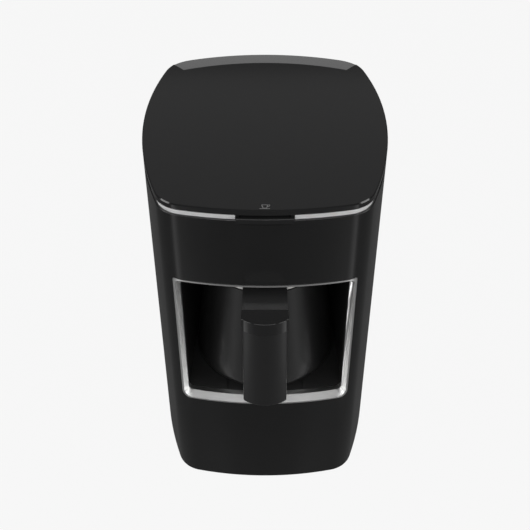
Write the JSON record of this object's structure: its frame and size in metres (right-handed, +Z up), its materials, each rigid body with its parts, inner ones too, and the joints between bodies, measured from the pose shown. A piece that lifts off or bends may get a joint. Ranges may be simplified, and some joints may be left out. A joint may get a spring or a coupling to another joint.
{
  "type": "electric turkish coffee maker",
  "caption": "Upright black housing with a framed bay that holds a removable tapered heating pot with a handle, and a start key at the front of its flat top.",
  "frame": {"origin": "middle of the housing's footprint, on the surface that the feet stand on", "axes": "+Z up, +X to the right seen from the front, and the front with the bay and the key faces -Y"},
  "size_m": [0.16, 0.2269, 0.2494],
  "materials": {
    "casing": "satin black moulding",
    "cover": "smooth dark grey moulding",
    "key": "smooth black",
    "inner": "plain black",
    "trim": "bright with a fine raised diamond pattern",
    "frame": "satin",
    "jacket": "glossy black coat",
    "steel": "brushed",
    "grip": "satin black",
    "cap": "glossy black",
    "rubber": "soft matte",
    "screw": "zinc plated",
    "spring": "spring wire",
    "board": "green solder mask",
    "device": "black epoxy",
    "light": "pale resin",
    "clear": "clear",
    "contact": "plain brass",
    "terminal": "green moulding",
    "winding": "iron core with a wound coil",
    "alu": "plain cast"
  },
  "bodies": {
    "housing": {"base_plate": "inner", "foot_front_left": "rubber", "foot_front_right": "rubber", "foot_rear_left": "rubber", "foot_rear_right": "rubber", "outer_casing": "casing", "rear_cover": "casing", "rear_cover_screws": "screw", "cord_gland": "rubber", "window_frame": "frame", "bay_liner": "inner", "upper_deck": "inner", "top_cover": "cover", "trim_strip_left": "trim", "trim_strip_right": "trim", "key_pivot_pin": "screw", "key_spring": "spring", "switch_body": "device", "control_board": "board", "board_screws": "screw", "microcontroller": "device", "buzzer": "device", "indicator_led": "light", "board_connector": "light", "light_guide": "clear", "boil_sensor": "device", "sensor_window": "clear", "power_board": "board", "power_board_screws": "screw", "transformer": "winding", "relay": "device", "capacitor": "device", "terminal_block": "terminal", "pot_socket": "inner", "socket_contacts": "contact", "base_screws": "screw", "deck_screws": "screw", "top_cover_screws": "screw"},
    "start_key": {"start_key": "key"},
    "switch_plunger": {"switch_plunger": "grip"},
    "pot": {"pot_jacket": "jacket", "pot_liner": "steel", "pot_base": "inner", "heater_plate": "alu", "heater_ring": "alu", "pot_thermostat": "device", "pot_plug": "inner", "plug_pins": "contact", "handle_grip": "grip", "handle_cap": "cap", "handle_arm": "cap", "handle_rivets": "screw", "handle_bolt": "screw"}
  },
  "joints": [
    {"name": "start_key_press", "type": "hinge", "parent": "housing", "child": "start_key", "pos_m": [0, -0.066, 0.242], "axis": [1, 0, 0], "range_deg": [0, 3.5], "stiffness_Nm_per_rad": 0.8, "springref_deg": -3.44, "deforming": ["key_spring"]},
    {"name": "plunger_travel", "type": "slide", "parent": "housing", "child": "switch_plunger", "axis": [0, 0, -1], "range_m": [0, 0.0012]},
    {"name": "pot_slide", "type": "slide", "parent": "housing", "child": "pot", "axis": [0, -1, 0], "range_m": [0, 0.13]}
  ],
  "couplings": [
    {"joint": "plunger_travel", "follows": "start_key_press", "m_per_rad": 0.0185}
  ]
}
